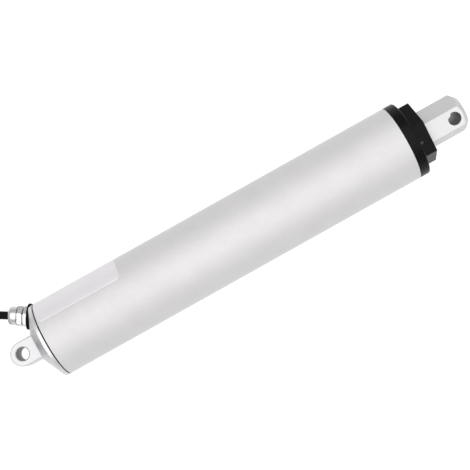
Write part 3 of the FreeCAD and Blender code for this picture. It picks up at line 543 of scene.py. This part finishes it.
def placed_coordinates(tree, place, rotation):
    """The part's own coordinates, seen from a frame at a place and turned by a rotation."""
    own = tree.nodes.new("ShaderNodeTexCoord")
    mapping = tree.nodes.new("ShaderNodeMapping")
    mapping.vector_type = "TEXTURE"
    mapping.inputs["Location"].default_value = place
    mapping.inputs["Rotation"].default_value = rotation
    tree.links.new(own.outputs["Object"], mapping.inputs["Vector"])
    return mapping.outputs["Vector"]


def off_axis(tree, place, roll):
    """Distance from the axis of a cross hole: its place, and its roll about X from +Z."""
    flat = tree.nodes.new("ShaderNodeVectorMath")
    flat.operation = "MULTIPLY"
    flat.inputs[1].default_value = (1, 1, 0)
    reach = tree.nodes.new("ShaderNodeVectorMath")
    reach.operation = "LENGTH"
    tree.links.new(placed_coordinates(tree, place, (roll, 0, 0)), flat.inputs[0])
    tree.links.new(flat.outputs["Vector"], reach.inputs[0])
    return reach.outputs["Value"]


def local_axes(tree, place, turn):
    """X, Y and Z in a frame at a place, turned about Z."""
    apart = tree.nodes.new("ShaderNodeSeparateXYZ")
    tree.links.new(placed_coordinates(tree, place, (0, 0, turn)), apart.inputs["Vector"])
    return apart.outputs


def inside(tree, value, edge, blend):
    """1 up to an edge and 0 past it, across a blend."""
    return math_node(tree, "SUBTRACT", 1.0, step(tree, value, edge, edge + blend))


def blend_tone_and_shade(material, mask, colour, extra_rough):
    """Blends another colour into a material and makes it rougher where a mask is 1, for a colour of the
    part's own and for painted shade alike.
    """
    tree = material.node_tree
    shader = tree.nodes["Principled BSDF"]
    old_colour = shader.inputs["Base Color"].links[0].from_socket
    old_roughness = shader.inputs["Roughness"].links[0].from_socket
    mix = tree.nodes.new("ShaderNodeMixRGB")
    mix.inputs["Color2"].default_value = (*colour, 1)
    tree.links.new(mask, mix.inputs["Fac"])
    tree.links.new(old_colour, mix.inputs["Color1"])
    tree.links.new(mix.outputs["Color"], shader.inputs["Base Color"])
    added = math_node(tree, "MULTIPLY", mask, extra_rough)
    tree.links.new(math_node(tree, "ADD", old_roughness, added), shader.inputs["Roughness"])


def surface(name, dark, light, rough, grain_scale, depth, metallic=0.0, stretch=(1, 1, 1), turned=0,
            coat=0.0, gloss=0.5):
    """Material of soft colour patches, uneven gloss, a fine grain, and turning marks if turned is set."""
    material, tree, shader = new_material(name)
    soft = noise(tree, part_coordinates(tree, (1, 1, 1)), BLOTCH)
    grain = noise(tree, part_coordinates(tree, stretch), grain_scale, detail=GRAIN_DETAIL)
    tree.links.new(tinted(tree, soft, dark, light), shader.inputs["Base Color"])
    tree.links.new(ranged(tree, grain, *rough), shader.inputs["Roughness"])
    normal = relief(tree, grain, depth)
    if turned:
        marks = noise(tree, turned_coordinates(tree), turned, detail=TURNING_DETAIL)
        normal = relief(tree, marks, depth, normal)
    tree.links.new(normal, shader.inputs["Normal"])
    shader.inputs["Metallic"].default_value = metallic
    shader.inputs["Specular IOR Level"].default_value = gloss
    shader.inputs["Coat Weight"].default_value = coat
    return material


MATERIALS = {name: surface(name, **look) for name, look in LOOKS.items()}


def finish_cap():
    """The cap's cone and lug sides stay as cast and rougher, and its rim is smoother. Its lug faces, picked
    by their level normals, are as rough and get painted shade: a darker colour that tones down the lamps'
    light on them. Its hole is drilled and rougher, with painted shade on its wall.
    """
    material = MATERIALS["cast_aluminium"]
    tree = material.node_tree
    own = tree.nodes.new("ShaderNodeTexCoord")
    facing = tree.nodes.new("ShaderNodeSeparateXYZ")
    place = tree.nodes.new("ShaderNodeSeparateXYZ")
    tree.links.new(own.outputs["Normal"], facing.inputs["Vector"])
    tree.links.new(own.outputs["Object"], place.inputs["Vector"])
    level = step(tree, math_node(tree, "ABSOLUTE", facing.outputs["Z"]), *LEVEL_RANGE)
    rim = step(tree, place.outputs["X"], RIM_X - RIM_BLEND, RIM_X + RIM_BLEND)
    cast = math_node(tree, "SUBTRACT", 1.0, math_node(tree, "MAXIMUM", level, rim))
    blend_tone_and_shade(material, cast, AS_CAST, CAP_EXTRA_ROUGH)
    # painted shade: the lug's level faces get the darker colour, and the same extra roughness as the cast
    # faces
    lug = math_node(tree, "MULTIPLY", level, math_node(tree, "SUBTRACT", 1.0, rim))
    blend_tone_and_shade(material, lug, PAINTED_LUG_SHADE, CAP_EXTRA_ROUGH)
    # the hole's wall is rougher as drilled, and painted darker as shade
    drilled_and_shaded = inside(tree, off_axis(tree, (0, 0, 0), 0), EYE_R, EYE_BLEND)
    blend_tone_and_shade(material, drilled_and_shaded, PAINTED_BORE_SHADE, DRILLED_EXTRA_ROUGH)


def finish_cores():
    """One core is red and the other black."""
    material = MATERIALS["core_insulation"]
    tree = material.node_tree
    end, before = around_coil(*TAIL_ROUTE[-1]), around_coil(*TAIL_ROUTE[-2])
    heading = math.atan2(end.y - before.y, end.x - before.x)
    across = local_axes(tree, end * MM, heading)["Y"]
    blend_tone_and_shade(material, step(tree, across, -FINE, FINE), CORE_BLACK, 0.0)


def finish_gland():
    """Painted shade: dark, rougher lines in the groove between the gland's base and its nut, and at the foot
    of its dome.
    """
    material = MATERIALS["nickel_plate"]
    tree = material.node_tree
    along = local_axes(tree, GLAND_SEAT, math.pi - GLAND_ANGLE)["X"]
    for joint in GLAND_JOINTS:
        distance = math_node(tree, "ABSOLUTE", math_node(tree, "SUBTRACT", along, joint))
        # painted shade along each joint
        line = inside(tree, distance, JOINT_HALF_W, JOINT_BLEND)
        blend_tone_and_shade(material, line, JOINT_SHADE, JOINT_EXTRA_ROUGH)


def finish_rod_end():
    """The rod end's cross hole is drilled: rougher, with painted shade on its wall."""
    material = MATERIALS["bright_aluminium"]
    tree = material.node_tree
    # the hole's wall is rougher as drilled, and painted darker as shade
    drilled_and_shaded = inside(tree, off_axis(tree, (ROD_EYE_X, 0, 0), FRONT_ROLL), EYE_R, EYE_BLEND)
    blend_tone_and_shade(material, drilled_and_shaded, PAINTED_BORE_SHADE, DRILLED_EXTRA_ROUGH)


def paint(piece, slot):
    """Gives a piece the one material of a slot."""
    piece.data.materials.clear()
    piece.data.materials.append(MATERIALS[slot])


def paint_cad_nodes():
    """Gives every CAD node the material of its slot in the record."""
    for part in frame["record"]["subparts"]:
        paint(nodes[part["node"]], part["material_slot"])


finish_cap()
finish_cores()
finish_gland()
finish_rod_end()
paint_cad_nodes()
paint(cable, "cable_jacket")
paint(tie, "tie_nylon")


# ---------------------------------------------------------------- floor and light

def make_floor():
    """Plain pale floor under the part, with some light of its own."""
    material, tree, shader = new_material("floor")
    grain = noise(tree, part_coordinates(tree, (1, 1, 1)), FLOOR_GRAIN)
    tree.links.new(ranged(tree, grain, *FLOOR_ROUGH), shader.inputs["Roughness"])
    shader.inputs["Base Color"].default_value = (FLOOR_GREY, FLOOR_GREY, FLOOR_GREY, 1)
    shader.inputs["Emission Color"].default_value = (1, 1, 1, 1)
    shader.inputs["Emission Strength"].default_value = FLOOR_GLOW
    mesh = bpy.data.meshes.new("floor")
    corners = [(x * FLOOR_HALF, y * FLOOR_HALF, FLOOR_Z) for x, y in ((-1, -1), (1, -1), (1, 1), (-1, 1))]
    mesh.from_pydata(corners, [], [(0, 1, 2, 3)])
    mesh.materials.append(material)
    floor = bpy.data.objects.new("floor", mesh)
    bpy.context.scene.collection.objects.link(floor)


def softbox(name, place, size, brightness):
    """Rectangular soft light at a place, aimed at the middle of the part."""
    light = bpy.data.lights.new(name, "AREA")
    light.shape = "RECTANGLE"
    light.size, light.size_y = size
    light.energy = brightness * math.pi * size[0] * size[1]
    lamp = bpy.data.objects.new(name, light)
    lamp.location = place
    lamp.rotation_mode = "QUATERNION"
    lamp.rotation_quaternion = (LOOK_AT - Vector(place)).to_track_quat("-Z", "Y")
    bpy.context.scene.collection.objects.link(lamp)


def make_light():
    """Even pale surroundings, a wide dim softbox overhead and a smaller bright one."""
    world = bpy.data.worlds.new("studio")
    world.use_nodes = True
    background = world.node_tree.nodes["Background"]
    background.inputs["Color"].default_value = (1, 1, 1, 1)
    background.inputs["Strength"].default_value = WORLD_LIGHT
    bpy.context.scene.world = world
    for box in SOFTBOXES:
        softbox(*box)


make_floor()
make_light()
bpy.context.scene.view_settings.view_transform = "Standard"
